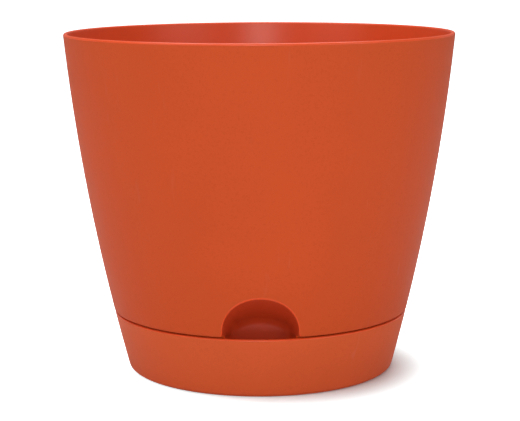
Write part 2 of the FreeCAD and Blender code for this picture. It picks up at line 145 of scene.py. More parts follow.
def draw_section(mesh: BMesh, corners: list[Corner], closed: bool) -> list[BMVert]:
    """Draw a half section in the plane of +X and Z, and round its corners.

    Args:
        mesh: the mesh that gets the wire.
        corners: the section's corners in order.
        closed: whether the last corner joins the first.

    Returns:
        The wire's vertices.
    """
    before = set(mesh.verts)
    verts = [mesh.verts.new((corner.reach, 0, corner.level)) for corner in corners]
    count = len(verts)
    for index in range(count if closed else count - 1):
        mesh.edges.new((verts[index], verts[(index + 1) % count]))
    setbacks = []
    for index, corner in enumerate(corners):
        if corner.radius:
            here = verts[index].co
            one = (verts[index - 1].co - here).normalized()
            other = (verts[(index + 1) % count].co - here).normalized()
            setbacks.append((verts[index], corner.radius / math.tan(one.angle(other) / 2),
                             corner.segments))
    for vert, setback, segments in setbacks:
        bmesh.ops.bevel(mesh, geom=[vert], offset=setback, segments=segments, profile=0.5,
                        affect="VERTICES", material=-1)
    return [vert for vert in mesh.verts if vert not in before]


def spin_section(mesh: BMesh, corners: list[Corner], columns: int,
                 closed: bool = False) -> list[BMFace]:
    """Draw a half section and turn it once around the axis.

    Args:
        mesh: the mesh that gets the faces.
        corners: the section's corners in order.
        columns: number of faces around the axis.
        closed: whether the section is a closed outline.

    Returns:
        The new faces.
    """
    before = set(mesh.faces)
    wire = draw_section(mesh, corners, closed)
    edges = list({edge for vert in wire for edge in vert.link_edges})
    bmesh.ops.spin(mesh, geom=wire + edges, cent=(0, 0, 0), axis=(0, 0, 1), dvec=(0, 0, 0),
                   angle=math.tau, steps=columns, use_merge=True)
    return [face for face in mesh.faces if face not in before]


def ring_of(mesh: BMesh, radius: float, level: float, segments: int,
            centre: tuple[float, float] = (0, 0)) -> list[BMVert]:
    """Add a level circle of edges.

    Args:
        mesh: the mesh that gets it.
        radius: the circle's radius.
        level: its height over the base.
        segments: number of its edges.
        centre: its middle.

    Returns:
        Its vertices.
    """
    made = bmesh.ops.create_circle(mesh, cap_ends=False, radius=radius, segments=segments)
    bmesh.ops.translate(mesh, verts=made["verts"], vec=(*centre, level))
    return made["verts"]


def edges_among(verts: list[BMVert]) -> list[BMEdge]:
    """The edges whose two ends are both in a list of vertices.

    Args:
        verts: the vertices.

    Returns:
        The edges, in no fixed order.
    """
    inside = set(verts)
    return list({edge for vert in verts for edge in vert.link_edges
                 if edge.other_vert(vert) in inside})


def fill_level(mesh: BMesh, edges: list[BMEdge]) -> list[BMFace]:
    """Fill a level outline, with the circles inside it left open as holes."""
    made = bmesh.ops.triangle_fill(mesh, edges=edges, use_beauty=True)
    return [item for item in made["geom"] if isinstance(item, BMFace)]


def extrude_ring(mesh: BMesh, ring: list[BMVert], places: list[Vector],
                 closed: bool) -> list[BMVert]:
    """Extrude a chain of edges once and put its new vertices in their places.

    Args:
        mesh: the mesh that holds the chain.
        ring: the chain's vertices in order.
        places: where each one's copy goes.
        closed: whether the chain is a loop.

    Returns:
        The new vertices, in the chain's order.
    """
    count = len(ring)
    pairs = [(ring[index], ring[(index + 1) % count])
             for index in range(count if closed else count - 1)]
    edges = [next(edge for edge in one.link_edges if edge.other_vert(one) is other)
             for one, other in pairs]
    made = bmesh.ops.extrude_edge_only(mesh, edges=edges)
    fresh = {item for item in made["geom"] if isinstance(item, BMVert)}
    copies = []
    for vert, place in zip(ring, places):
        copy = next(edge.other_vert(vert) for edge in vert.link_edges
                    if edge.other_vert(vert) in fresh)
        copy.co = place
        copies.append(copy)
    return copies


def rounded(start: Vector, corner: Vector, end: Vector, share: float) -> Vector:
    """A point on the round of a corner.

    Args:
        start: where the round starts, at share 0.
        corner: the corner that it takes off.
        end: where the round ends, at share 1.
        share: how far along the round.

    Returns:
        The point.
    """
    weight = math.sqrt(0.5)
    ahead, back = share ** 2, (1 - share) ** 2
    middle = 2 * share * (1 - share) * weight
    return (start * back + corner * middle + end * ahead) / (back + middle + ahead)


def angle_of(spot: Vector) -> float:
    """Angle of a point round the axis, from the front and positive to the right."""
    return math.atan2(spot.x, -spot.y)


def put_round(angle: float, reach: float, level: float) -> Vector:
    """The point at an angle from the front, a distance from the axis and a level."""
    return Vector((reach * math.sin(angle), -reach * math.cos(angle), level))


def halve(test: Callable[[float], bool], low: float, high: float) -> float:
    """The value at which a test stops holding, found by halving.

    Args:
        test: holds at low and doesn't hold at high.
        low: one end of the range.
        high: the other end.

    Returns:
        The value.
    """
    for _ in range(HALVINGS):
        middle = (low + high) / 2
        if test(middle):
            low = middle
        else:
            high = middle
    return (low + high) / 2


@dataclass(frozen=True)
class Arch:
    """An arch on two legs: a flat crown arc between two tighter haunch arcs.

    Its shares run from 0 at the foot of the left leg over 1, 2, 3 and 4, where the legs,
    haunches and crown meet, to 5 at the foot of the right leg.
    """

    half: float
    rise: float
    leg: float
    square: float

    def point(self, share: float, growth: float, foot: float,
              shoulder: float) -> tuple[float, float]:
        """A point of the arch, or of its outline moved outwards.

        Args:
            share: how far along the arch, from 0 to 5.
            growth: distance that the outline is moved outwards.
            foot: level of the legs' feet.
            shoulder: level that the arch's heights are measured from.

        Returns:
            The point's place across and its level.
        """
        if share > ARCH_CROWN:
            across, level = self.point(ARCH_END - share, growth, foot, shoulder)
            return -across, level
        half = self.half + growth
        spring = shoulder + self.leg
        if share <= 1:
            return -half, foot + share * (spring - foot)
        over = self.rise + growth - self.leg
        haunch = over - self.square
        crown = (half ** 2 + over ** 2 - 2 * half * haunch) / (2 * self.square)
        lean = math.atan2(half - haunch, crown - over)
        if share <= 2:
            turn = (share - 1) * (math.pi / 2 - lean)
            return -(half - haunch) - haunch * math.cos(turn), spring + haunch * math.sin(turn)
        tilt = lean * (ARCH_CROWN - share) / (ARCH_CROWN - 2)
        return -crown * math.sin(tilt), spring + over - crown + crown * math.cos(tilt)


@dataclass(frozen=True)
class Niche:
    """The scoop in the pot's front: a front arch drawn in along straight lines to a back one."""

    back_y: float
    growth: float
    foot: float
    shoulder: float = 33.4
    front_y: float = -86.08
    front: Arch = Arch(half=22.36, rise=21.94, leg=2.87, square=0.49)
    back: Arch = Arch(half=14.7, rise=6.7, leg=-0.6, square=2.26)

    def spot(self, share: float, depth: float, growth: float = 0.0) -> Vector:
        """A point of the scoop's wall.

        Args:
            share: how far along the arch, from 0 to 5.
            depth: the point's Y.
            growth: distance that the outline is moved outwards.

        Returns:
            The point.
        """
        back = (depth - self.front_y) / (self.back_y - self.front_y)
        grown = self.growth + growth
        near = self.front.point(share, grown, self.foot, self.shoulder)
        far = self.back.point(share, grown, self.foot, self.shoulder)
        return Vector((near[0] + (far[0] - near[0]) * back, depth,
                       near[1] + (far[1] - near[1]) * back))

    def meet(self, share: float, growth: float, reach: Callable[[float], float]) -> Vector:
        """Where the scoop's line at a share meets a surface around the axis.

        Args:
            share: how far along the arch.
            growth: distance that the outline is moved outwards.
            reach: the surface's distance from the axis at a level.

        Returns:
            The point.
        """
        def outside(depth: float) -> bool:
            """Whether the line is still outside the surface at a depth."""
            spot = self.spot(share, depth, growth)
            return spot.xy.length > reach(spot.z)
        return self.spot(share, halve(outside, self.front_y, self.back_y), growth)

    def meet_row(self, reach: float, level: float, growth: float) -> tuple[float, Vector]:
        """Where the scoop's left side meets a circle around the axis.

        Args:
            reach: the circle's radius.
            level: the circle's level.
            growth: distance that the outline is moved outwards.

        Returns:
            The share and the point.
        """
        def share_at(depth: float) -> float:
            """The share at which the scoop's wall has the level, at a depth."""
            return halve(lambda share: self.spot(share, depth, growth).z < level, 0, ARCH_CROWN)

        def outside(depth: float) -> bool:
            """Whether that point is still outside the circle."""
            return self.spot(share_at(depth), depth, growth).xy.length > reach
        depth = halve(outside, self.front_y, self.back_y)
        share = share_at(depth)
        place = self.spot(share, depth, growth)
        return share, Vector((place.x, place.y, level))


@dataclass(frozen=True)
class Lining:
    """How one side of the pot's wall runs into the niche.

    Attributes:
        niche: the scoop, or the bulge that it makes inside.
        wall_inset: distance of the wall over the last fixed row inside the outer wall.
        fixed_level: level of the last row that keeps its place, where the wall begins.
        edge: radius of the round between the wall and the scoop.
        crease: radius of the round between the scoop and its back.
        flare: width of the rounded corners at the seam.
        flare_height: height of those corners over the seam.
        patch_shares: where the rings between the opening and the edge lie.
        edge_rings: number of faces across the round of the edge.
        wall_rings: number of faces from there to the crease.
        crease_rings: number of faces across the crease.
        crowding: how much closer the points of the edge line lie at its two ends.
    """

    niche: Niche
    wall_inset: float
    fixed_level: float
    edge: float
    crease: float
    flare: float
    flare_height: float = 3.2
    patch_shares: tuple[float, ...] = (0.16, 0.32, 0.47, 0.61, 0.74, 0.86, 0.95)
    edge_rings: int = 4
    wall_rings: int = 3
    crease_rings: int = 5
    crowding: float = 0.45


@dataclass
class Piece:
    """What every piece has in common: its name, the body it rides on and its finish."""

    name: str
    body: str
    node: str
    slot: str
    finishes: list[bpy.types.Material]

    def close(self, mesh: BMesh) -> bpy.types.Object:
        """Turn a finished mesh in millimetres into the piece's object.

        Args:
            mesh: the mesh, which is freed.

        Returns:
            The object, riding on its body in place of its CAD node.
        """
        bmesh.ops.remove_doubles(mesh, verts=mesh.verts[:], dist=MERGE)
        bmesh.ops.dissolve_degenerate(mesh, dist=MERGE / 2, edges=mesh.edges[:])
        bmesh.ops.recalc_face_normals(mesh, faces=mesh.faces[:])
        bmesh.ops.scale(mesh, verts=mesh.verts[:], vec=(METRES, METRES, METRES))
        open_edges = sum(not edge.is_manifold for edge in mesh.edges)
        data = bpy.data.meshes.new(self.name)
        mesh.to_mesh(data)
        mesh.free()
        data.shade_smooth()
        data.set_sharp_from_angle(angle=SHARP_ANGLE)
        for material in self.finishes:
            data.materials.append(material)
        piece = bpy.data.objects.new(self.name, data)
        bpy.context.scene.collection.objects.link(piece)
        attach(piece, self.body)
        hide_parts(self.node)
        LOG.info("%s: %d faces, %d open edges", self.name, len(data.polygons), open_edges)
        return piece


def join_solids(base: BMesh, tool: BMesh, how: Join) -> BMesh:
    """Unite two closed meshes or cut one from the other.

    Args:
        base: the mesh that is changed. It is freed.
        tool: the other mesh. It is freed.
        how: whether the tool is added or cut away.

    Returns:
        The result.
    """
    holders = []
    for mesh in (base, tool):
        bmesh.ops.remove_doubles(mesh, verts=mesh.verts[:], dist=MERGE)
        bmesh.ops.recalc_face_normals(mesh, faces=mesh.faces[:])
        data = bpy.data.meshes.new("workpiece")
        mesh.to_mesh(data)
        mesh.free()
        holder = bpy.data.objects.new("workpiece", data)
        bpy.context.scene.collection.objects.link(holder)
        holders.append(holder)
    join = holders[0].modifiers.new("join", "BOOLEAN")
    join.operation = how.value
    join.solver = "EXACT"
    join.object = holders[1]
    scene = bpy.context.evaluated_depsgraph_get()
    joined = bpy.data.meshes.new_from_object(holders[0].evaluated_get(scene))
    result = bmesh.new()
    result.from_mesh(joined)
    for holder in holders:
        data = holder.data
        bpy.data.objects.remove(holder)
        bpy.data.meshes.remove(data)
    bpy.data.meshes.remove(joined)
    return result


def put_bars(count: int, first_turn: float, size: tuple[float, float, float],
             place: tuple[float, float, float], edge_round: float = 0.0,
             picked: Callable[[BMEdge], bool] | None = None) -> BMesh:
    """Make a ring of equal bars around the axis.

    Args:
        count: number of bars.
        first_turn: angle of the first one from +X.
        size: a bar's extent along X, Y and Z before it is turned.
        place: its middle before it is turned.
        edge_round: radius of its rounded edges.
        picked: whether an edge of a bar around the origin is rounded, or None for a plain bar.

    Returns:
        The bars, as one mesh.
    """
    mesh = bmesh.new()
    for index in range(count):
        bar = bmesh.ops.create_cube(mesh, size=1)["verts"]
        bmesh.ops.scale(mesh, verts=bar, vec=size)
        if picked:
            edges = [edge for edge in edges_among(bar) if picked(edge)]
            shaped = bmesh.ops.bevel(mesh, geom=edges, offset=edge_round,
                                     segments=BEVEL_SEGMENTS, profile=0.5, affect="EDGES",
                                     material=-1)
            bar = list({vert for face in shaped["faces"] for vert in face.verts}
                       | {vert for vert in bar if vert.is_valid})
        bmesh.ops.translate(mesh, verts=bar, vec=place)
        turn = Quaternion((0, 0, 1), first_turn + math.tau * index / count)
        bmesh.ops.rotate(mesh, verts=bar, cent=(0, 0, 0), matrix=turn.to_matrix())
    return mesh


@dataclass
class Saucer(Piece):
    """The reservoir saucer: a flush wall on a foot ring, a round lip and the pot's ribs.

    A gap is the distance from a round to the nearest plain row of the section.
    """

    wall: WallArc = WallArc()
    height: float = 32.4
    thickness: float = 2.2
    foot_rise: float = 0.8
    foot_inner: float = 60.8
    foot_edge: float = 0.3
    foot_gap: float = 1.5
    base_round: float = 3.4
    base_gap: float = 1.2
    corner: float = 3.0
    corner_gap: float = 0.8
    lip_round: float = 0.9
    lip_gap: float = 0.6
    wall_rows: int = 8
    columns: int = 240
    rib_count: int = 8
    rib_width: float = 2.4
    rib_rise: float = 1.8
    rib_start: float = 14.0
    rib_end: float = 61.58
    rib_gap: float = 2.0
    rib_round: float = 0.4
    rib_sink: float = 0.6

    def build(self) -> bpy.types.Object:
        """Make the saucer's mesh and dress it.

        Returns:
            The piece.
        """
        mesh = bmesh.new()
        floor = self.foot_rise + self.thickness
        reach = self.wall.reach
        top_row = self.height - self.lip_round - self.lip_gap
        outside = steps(self.base_round + self.base_gap, top_row, self.wall_rows)
        inside = steps(top_row, floor + self.corner + self.corner_gap, self.wall_rows)
        spin_section(mesh, [
            Corner(0, self.foot_rise),
            Corner(self.foot_inner - self.foot_gap, self.foot_rise),
            Corner(self.foot_inner, self.foot_rise, self.foot_edge, 2),
            Corner(self.foot_inner, 0, self.foot_edge, 2),
            Corner(self.wall.base_radius, 0, self.base_round, 8),
            *self.wall.rows(outside),
            Corner(reach(self.height), self.height, self.lip_round, 5),
            Corner(reach(self.height, self.thickness), self.height, self.lip_round, 5),
            *self.wall.rows(inside, self.thickness),
            Corner(reach(floor, self.thickness), floor, self.corner, 6),
            Corner(self.rib_end + self.rib_gap, floor),
            Corner(self.rib_start - self.rib_gap, floor),
            Corner(0, floor),
        ], self.columns)
        mesh = join_solids(mesh, self.make_ribs(floor), Join.UNION)
        # The lip and the inside take the lighter satin tone: a painted highlight on the lip and
        # painted light inside.
        for face in mesh.faces:
            middle = face.calc_center_median()
            inside = middle.xy.length < reach(middle.z, self.lip_round)
            if middle.z > self.height - self.lip_round or inside and middle.z > self.foot_rise:
                face.material_index = Finish.INSIDE.value
        return self.close(mesh)

    def make_ribs(self, floor: float) -> BMesh:
        """The ribs as closed bars with rounded tops, sunk a little into the floor.

        Args:
            floor: level of the floor's upper side.

        Returns:
            The ribs, as one mesh.
        """
        depth = self.rib_rise + self.rib_sink
        return put_bars(
            self.rib_count, math.pi / self.rib_count,
            (self.rib_end - self.rib_start, self.rib_width, depth),
            ((self.rib_start + self.rib_end) / 2, 0, floor + self.rib_rise - depth / 2),
            self.rib_round, lambda edge: any(vert.co.z > 0 for vert in edge.verts))


@dataclass
class Pot(Piece):
    """The planter's pot: a tapered wall over a skirt, the filling niche and a drained floor.

    A gap is the distance from a corner or a seam to the nearest plain row of the section. Where
    two values are given, the first is for the outer side of the wall.
    """

    wall: WallArc = WallArc()
    thickness: float = 2.2
    base: float = 4.8
    shoulder: float = 33.4
    skirt_inset: float = 3.0
    skirt_round: float = 3.0
    skirt_gap: float = 1.0
    skirt_rows: int = 5
    ledge_gap: tuple[float, float] = (0.6, 0.8)
    ledge_row: tuple[float, float] = (1.2, 1.0)
    seam_round: float = 0.35
    seam_rows: tuple[float, float] = (0.5, 3.0)
    wall_rows: int = 9
    inner_rows: int = 8
    rim_rows: tuple[float, float, float] = (6.0, 2.4, 1.5)
    rim_round: float = 1.05
    floor_round: float = 1.0
    skin_band: float = 0.05
    # depth where the scoop's darker tone starts; the edge round above it later takes the lighter
    # inside tone, a painted highlight
    edge_highlight_band: float = 0.5
    columns: int = 360
    window_angle: float = math.radians(32)
    window_top: float = 63.0
    window_gap: float = 9.0
    floor_ring: float = 60.0
    window_ring: float = 61.5
    hole_segments: int = 32
    centre_hole: float = 5.0
    drain_hole: float = 4.0
    drain_rings: tuple[float, float] = (28.0, 54.0)
    drain_count: int = 8

    def build(self) -> bpy.types.Object:
        """Make the pot's mesh and dress it.

        Returns:
            The piece.
        """
        mesh = bmesh.new()
        outside = spin_section(mesh, self.outer_section(), self.columns)
        self.line_niche(mesh, outside, Lining(
            niche=Niche(back_y=-65.58, growth=0.0, foot=self.base), wall_inset=0.0,
            fixed_level=self.shoulder + self.seam_round, edge=0.7, crease=3.0, flare=1.9))
        # The scoop takes the darker tone: painted shade in the recess.
        self.mark_finish(mesh, Finish.SCOOP, self.edge_highlight_band)
        inside = spin_section(mesh, self.inner_section(), self.columns)
        floor = self.base + self.thickness
        self.line_niche(mesh, inside, Lining(
            niche=Niche(back_y=-63.38, growth=2.7, foot=floor), wall_inset=self.thickness,
            fixed_level=self.shoulder + self.thickness, edge=1.0, crease=4.0, flare=0.0))
        self.drill_floor(mesh, floor)
        # The inside, the rim and the niche's edge round take the lighter satin tone: painted
        # light inside and a painted highlight on the rim and the edge.
        self.mark_finish(mesh, Finish.INSIDE, self.skin_band)
        return self.close(mesh)

    def outer_section(self) -> list[Corner]:
        """The outer half section, from the floor's underside to the middle of the rim.

        Returns:
            Its corners.
        """
        wall = self.wall
        reach = wall.reach
        edge = self.shoulder + self.seam_round
        rim = wall.height
        low = self.base + self.skirt_round + self.skirt_gap
        first, second = self.seam_rows
        top, *near_rim = self.rim_rows
        return [
            Corner(self.floor_ring, self.base),
            Corner(self.window_ring, self.base),
            Corner(reach(self.base, self.skirt_inset), self.base, self.skirt_round, 5),
            *wall.rows(steps(low, self.shoulder - self.ledge_gap[0], self.skirt_rows),
                       self.skirt_inset),
            Corner(reach(self.shoulder, self.skirt_inset), self.shoulder),
            Corner(reach(self.shoulder, self.ledge_row[0]), self.shoulder),
            Corner(reach(self.shoulder), self.shoulder, self.seam_round, 4),
            *wall.rows([edge + first]),
            *wall.rows(steps(edge + second, self.window_top, self.wall_rows)),
            *wall.rows(steps(self.window_top + self.window_gap, rim - top, self.wall_rows)),
            *wall.rows([rim - gap for gap in near_rim]),
            Corner(reach(rim), rim, self.rim_round, 6),
            Corner(reach(rim, self.thickness / 2), rim),
        ]

    def inner_section(self) -> list[Corner]:
        """The inner half section, from the middle of the rim down to the floor.

        Returns:
            Its corners.
        """
        wall = self.wall
        reach = wall.reach
        rim = wall.height
        ledge = self.shoulder + self.thickness
        floor = self.base + self.thickness
        skirt = self.skirt_inset + self.thickness
        low = floor + self.floor_round + self.skirt_gap
        top, *near_rim = self.rim_rows
        return [
            Corner(reach(rim, self.thickness / 2), rim),
            Corner(reach(rim, self.thickness), rim, self.rim_round, 6),
            *wall.rows([rim - gap for gap in reversed(near_rim)], self.thickness),
            *wall.rows(steps(rim - top, self.window_top + self.window_gap, self.wall_rows),
                       self.thickness),
            *wall.rows(steps(self.window_top, ledge + self.skirt_gap, self.inner_rows),
                       self.thickness),
            Corner(reach(ledge, self.thickness), ledge),
            Corner(reach(ledge, self.thickness + self.ledge_row[1]), ledge),
            Corner(reach(ledge, skirt), ledge),
            *wall.rows(steps(ledge - self.ledge_gap[1], low, self.skirt_rows), skirt),
            Corner(reach(floor, skirt), floor, self.floor_round, 4),
            Corner(self.window_ring, floor),
            Corner(self.floor_ring, floor),
        ]

    def open_window(self, mesh: BMesh, faces: list[BMFace]) -> list[BMVert]:
        """Take the front out of a spun wall.

        Args:
            mesh: the mesh that holds the wall.
            faces: the wall's faces.

        Returns:
            The opening's vertices in order: up the left side, over, down the right side and
            back along the floor.
        """
        front = []
        for face in faces:
            middle = face.calc_center_median()
            if (abs(angle_of(middle)) < self.window_angle and middle.z < self.window_top
                    and middle.xy.length > self.window_ring):
                front.append(face)
        rim = {edge for face in front for edge in face.edges}
        bmesh.ops.delete(mesh, geom=front, context="FACES")
        rim = {edge for edge in rim if edge.is_valid and edge.is_boundary}
        verts = {vert for edge in rim for vert in edge.verts}
        inmost = min(vert.co.xy.length for vert in verts)
        start = min((vert for vert in verts if vert.co.xy.length < inmost + MERGE),
                    key=lambda vert: angle_of(vert.co))
        loop = [start]
        while True:
            ahead = [edge.other_vert(loop[-1]) for edge in loop[-1].link_edges if edge in rim]
            ahead = [vert for vert in ahead if vert not in loop[-2:]]
            if len(loop) == 1:
                ahead = [max(ahead, key=lambda vert: vert.co.xy.length)]
            if ahead[0] is start:
                return loop
            loop.append(ahead[0])

    def line_niche(self, mesh: BMesh, faces: list[BMFace], lining: Lining) -> None:
        """Run one side of the wall into the niche, ring by ring.

        Args:
            mesh: the pot's mesh.
            faces: the side's spun faces.
            lining: how this side runs into the niche.
        """
        loop = self.open_window(mesh, faces)
        left = sum(abs(angle_of(vert.co) + self.window_angle) < SAME_ANGLE for vert in loop)
        width = (len(loop) - 2 * left) // 2 + 1
        rows = [(vert.co.xy.length, vert.co.z) for vert in loop[1:left]
                if vert.co.z < lining.fixed_level + MERGE]
        edge_line = self.mouth(lining, rows, 2 * left + width - 3)
        self.grow_rings(mesh, loop, rows, edge_line, lining)

    def mouth(self, lining: Lining, rows: list[tuple[float, float]],
              count: int) -> list[tuple[float, Vector, float]]:
        """The line where the scoop leaves the wall, before its edge is rounded.

        Args:
            lining: how this side runs into the niche.
            rows: reach and level of the rows that keep their place, from the floor up.
            count: number of points on the line.

        Returns:
            Share, point and flare of each, from the left foot to the right one.
        """
        niche = lining.niche
        wall = self.wall_reach(lining)
        shelf = [reach for reach, level in rows if abs(level - self.shoulder) < MERGE]
        points = []
        for reach, level in rows:
            flare = 0.0
            if lining.flare and level > self.shoulder - MERGE:
                out = (reach - shelf[0]) / (self.wall.reach(self.shoulder) - shelf[0])
                flare = lining.flare * min(1.0, out) ** 2 * self.flare_at(lining, level)
            share, spot = niche.meet_row(reach, level, flare)
            points.append((share, spot, flare))
        gaps = count - 2 * len(rows) + 1
        first = points[-1][0]

        def over(share: float) -> tuple[float, Vector, float]:
            """Find where the edge line crosses the wall.

            Args:
                share: how far along the arch.

            Returns:
                The share, the point and its flare.
            """
            plain = niche.meet(share, 0.0, wall)
            flare = lining.flare * self.flare_at(lining, plain.z)
            return share, niche.meet(share, flare, wall), flare
        dense = [over(share) for share in steps(first, ARCH_END - first, MOUTH_SAMPLES)]
        run = [0.0]
        for one, other in zip(dense, dense[1:]):
            run.append(run[-1] + (other[1] - one[1]).length)
        place = 0
        for index in range(1, gaps):
            even = index / gaps
            want = run[-1] * (even - lining.crowding * math.sin(math.tau * even) / math.tau)
            while run[place + 1] < want:
                place += 1
            between = (want - run[place]) / (run[place + 1] - run[place])
            share = dense[place][0] + (dense[place + 1][0] - dense[place][0]) * between
            points.append(over(share))
        for share, spot, flare in reversed(points[:len(rows)]):
            points.append((ARCH_END - share, Vector((-spot.x, spot.y, spot.z)), flare))
        return points

    def wall_reach(self, lining: Lining) -> Callable[[float], float]:
        """The reach of the wall that a lining starts from, by level."""
        return lambda level: self.wall.reach(level, lining.wall_inset)

    def flare_at(self, lining: Lining, level: float) -> float:
        """How much of the flare there is at a level.

        Args:
            lining: how this side runs into the niche.
            level: the height over the base.

        Returns:
            The share: 1 at the seam, 0 over the rounded corner.
        """
        height = level - self.shoulder
        if not lining.flare or height >= lining.flare_height:
            return 0.0
        left = 1 - max(height, 0.0) / lining.flare_height
        return 1 - math.sqrt(1 - left ** 2)

    def grow_rings(self, mesh: BMesh, loop: list[BMVert], rows: list[tuple[float, float]],
                   edge_line: list[tuple[float, Vector, float]], lining: Lining) -> None:
        """Extrude the rings from the opening to the niche's back and close it.

        Args:
            mesh: the pot's mesh.
            loop: the opening's vertices in order.
            rows: reach and level of the rows that keep their place, from the floor up.
            edge_line: share, point and flare along the line where the scoop leaves the wall.
            lining: how this side runs into the niche.
        """
        niche = lining.niche
        fixed = len(rows)
        count = len(edge_line)
        reach = self.wall_reach(lining)
        rings = [[] for _ in range(lining.edge_rings + lining.wall_rings
                                   + lining.crease_rings + 2)]
        for index, (share, corner, flare) in enumerate(edge_line):
            mirrored = index >= count - fixed
            row = rows[count - 1 - index] if mirrored else rows[min(index, fixed - 1)]
            if index < fixed or mirrored:
                start = niche.meet_row(*row, flare + lining.edge)[1]
                if mirrored:
                    start.x = -start.x
            else:
                start = niche.meet(share, flare + lining.edge, reach)
            self.thread(rings, share, corner, flare, start, lining)
        floor = [ring[-1] for ring in rings]
        back = floor[-1]
        straight = len(loop) - count - 2 * (len(rings) - 1) + 1
        bottom = floor[1:] + [Vector((back.x * (1 - 2 * step / straight), back.y, back.z))
                              for step in range(1, straight)]
        bottom += [Vector((-spot.x, spot.y, spot.z)) for spot in reversed(floor[1:])]
        targets = rings[0] + bottom
        ordered = loop[1:] + loop[:1]
        starts = [vert.co.copy() for vert in ordered]
        ring = ordered
        for share in (*lining.patch_shares, 1.0):
            places = []
            for index, (begin, end) in enumerate(zip(starts, targets)):
                if index >= count:
                    places.append(begin.lerp(end, share))
                    continue
                level = begin.z + (end.z - begin.z) * share
                angle = angle_of(begin) + (angle_of(end) - angle_of(begin)) * share
                on_row = index < fixed or index >= count - fixed
                out = begin.xy.length if on_row else reach(level)
                places.append(put_round(angle, out, level))
            ring = extrude_ring(mesh, ring, places, closed=True)
        ring = ring[:count]
        for places in rings[1:]:
            ring = extrude_ring(mesh, ring, places, closed=False)
        bmesh.ops.remove_doubles(mesh, verts=mesh.verts[:], dist=MERGE)
        rest = [edge for edge in mesh.edges if edge.is_boundary
                and all(abs(vert.co.y - niche.back_y) < MERGE for vert in edge.verts)]
        bmesh.ops.holes_fill(mesh, edges=rest, sides=0)

    def thread(self, rings: list[list[Vector]], share: float, corner: Vector, flare: float,
               start: Vector, lining: Lining) -> None:
        """Add one line of points, from the wall round the edge to the niche's back.

        Args:
            rings: the rings that each get one point.
            share: how far along the arch the line runs.
            corner: where the line leaves the wall, before its edge is rounded.
            flare: how far the corner stands outside the plain arch.
            start: where the round of the edge starts on the wall.
            lining: how this side runs into the niche.
        """
        niche = lining.niche
        depth = corner.y
        begin = depth + lining.edge
        end = niche.back_y - lining.crease

        def along(at: float) -> Vector:
            """The line's point at a depth, with the flare that is left there."""
            left = max(0.0, 1 - (at - depth) / self.skirt_inset)
            return niche.spot(share, at, flare * left ** 2)
        first = along(begin)
        points = [rounded(start, corner, first, step / lining.edge_rings)
                  for step in range(lining.edge_rings + 1)]
        points += [along(begin + (end - begin) * step / lining.wall_rings)
                   for step in range(1, lining.wall_rings + 1)]
        last = points[-1]
        deep = niche.spot(share, niche.back_y)
        flat = niche.spot(share, niche.back_y, -lining.crease)
        points += [rounded(last, deep, flat, step / lining.crease_rings)
                   for step in range(1, lining.crease_rings + 1)]
        points.append(niche.spot(share, niche.back_y, -lining.crease - self.seam_round))
        for ring, point in zip(rings, points):
            ring.append(point)

    def drill_floor(self, mesh: BMesh, floor: float) -> None:
        """Close the floor between its two rings and bore its holes.

        Args:
            mesh: the pot's mesh.
            floor: level of the floor's upper side.
        """
        holes = [(self.centre_hole, (0.0, 0.0))]
        for distance in self.drain_rings:
            for index in range(self.drain_count):
                turn = math.tau * index / self.drain_count
                holes.append((self.drain_hole, (distance * math.cos(turn),
                                                distance * math.sin(turn))))
        circles = {}
        for level in (self.base, floor):
            circles[level] = [ring_of(mesh, radius, level, self.hole_segments, centre)
                              for radius, centre in holes]
            rim = [edge for edge in mesh.edges if edge.is_boundary
                   and all(abs(vert.co.z - level) < MERGE for vert in edge.verts)
                   and all(abs(vert.co.xy.length - self.floor_ring) < MERGE
                           for vert in edge.verts)]
            for circle in circles[level]:
                rim += edges_among(circle)
            fill_level(mesh, rim)
        for low, high in zip(circles[self.base], circles[floor]):
            bmesh.ops.bridge_loops(mesh, edges=edges_among(low) + edges_among(high))

    def mark_finish(self, mesh: BMesh, finish: Finish, band: float) -> None:
        """Give a smoother finish to the unmarked faces that aren't on the outer wall, and the
        inside finish to the rim as well. The inside finish's lighter tone is painted light, and a
        painted highlight on the rim and the niche's edge; the scoop's darker tone is painted
        shade.

        Args:
            mesh: the pot's mesh.
            finish: the finish.
            band: depth under the outer wall that it starts at.
        """
        rim = self.wall.height - self.rim_round
        for face in mesh.faces:
            if face.material_index != Finish.OUTSIDE.value:
                continue
            middle = face.calc_center_median()
            inset = band
            if middle.z < self.shoulder + self.seam_round:
                inset += self.skirt_inset
            scooped = middle.xy.length < self.wall.reach(middle.z, inset)
            if middle.z > rim and finish is Finish.INSIDE or middle.z < rim and scooped:
                face.material_index = finish.value


